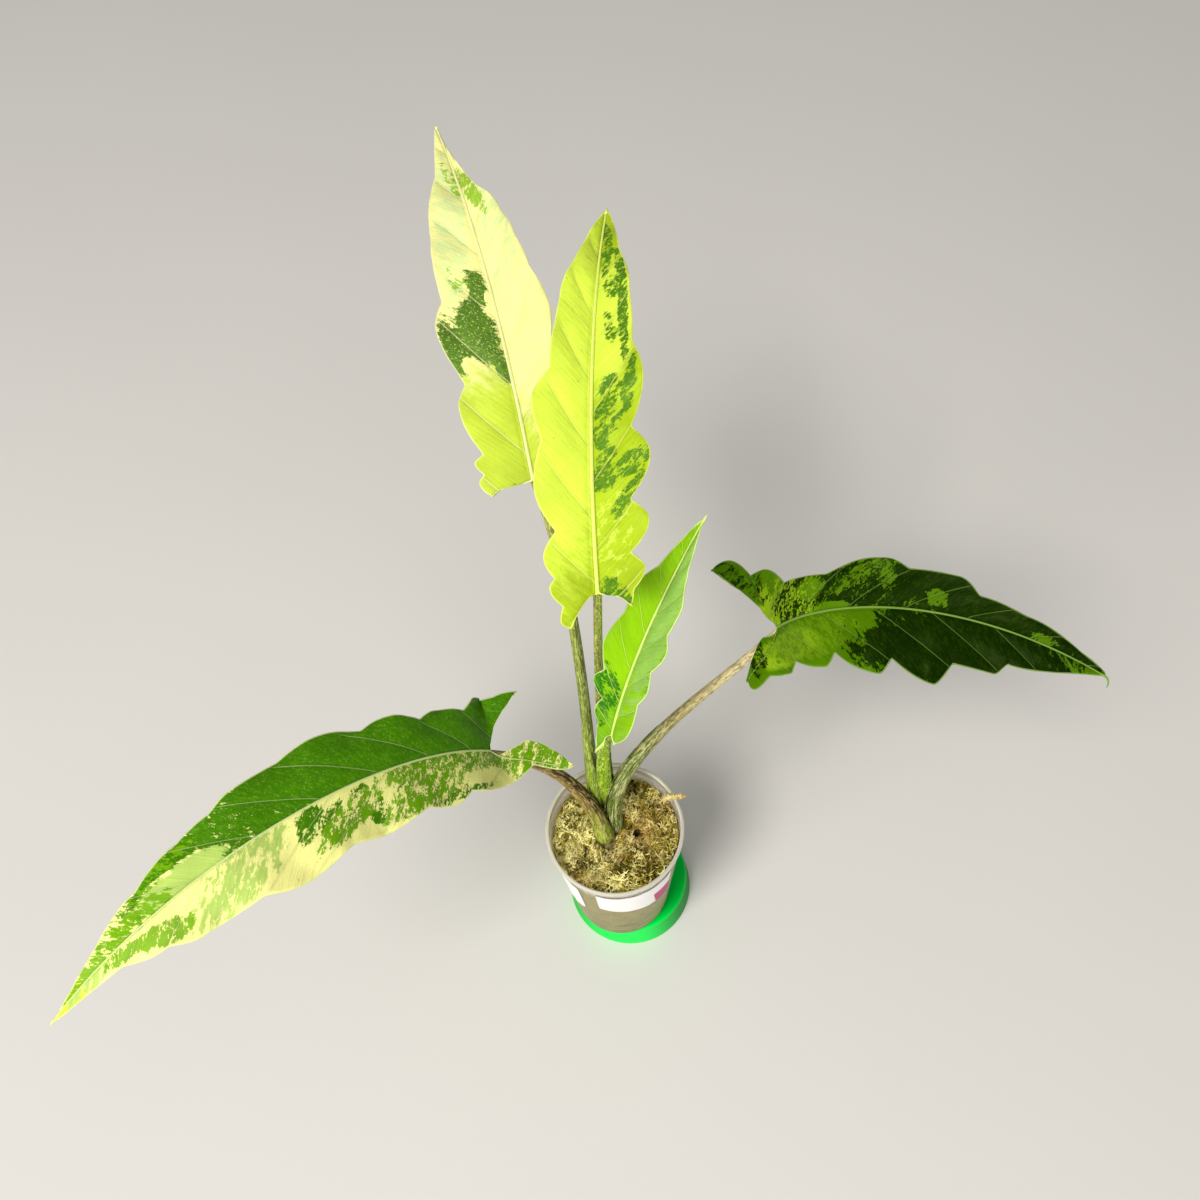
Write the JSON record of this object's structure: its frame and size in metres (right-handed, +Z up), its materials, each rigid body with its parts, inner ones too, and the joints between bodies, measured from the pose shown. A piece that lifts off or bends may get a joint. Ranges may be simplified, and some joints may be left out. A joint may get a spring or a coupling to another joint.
{
  "type": "potted alocasia",
  "caption": "House plant with long arrow-shaped variegated leaves on slender stalks, rooted in moss in a frosted plastic cup that stands on an upturned green dish.",
  "frame": {"origin": "middle of the underside of the bounding box, on the table the dish stands on", "axes": "+Z up, -Y towards the viewer of the picture, +X to the viewer's right"},
  "size_m": [0.558, 0.4576, 0.5245],
  "materials": {
    "dish_green": "satin",
    "cup_frosted": "satin",
    "sticker_white": "satin",
    "moss_straw": "matte",
    "stem_green": "satin",
    "stem_brown": "satin",
    "leaf_cream": "satin",
    "leaf_lime": "satin",
    "leaf_green": "satin"
  },
  "bodies": {
    "root": {"dish": "dish_green", "cup": "cup_frosted", "sticker_front": "sticker_white", "sticker_side": "sticker_white", "moss": "moss_straw", "crown": "stem_green", "petiole_back": "stem_green", "petiole_middle": "stem_green", "petiole_new": "stem_green", "petiole_right": "stem_brown", "petiole_left": "stem_brown", "blade_back": "leaf_cream", "blade_middle": "leaf_lime", "blade_new": "leaf_lime", "blade_right": "leaf_green", "blade_left": "leaf_green"}
  },
  "joints": []
}
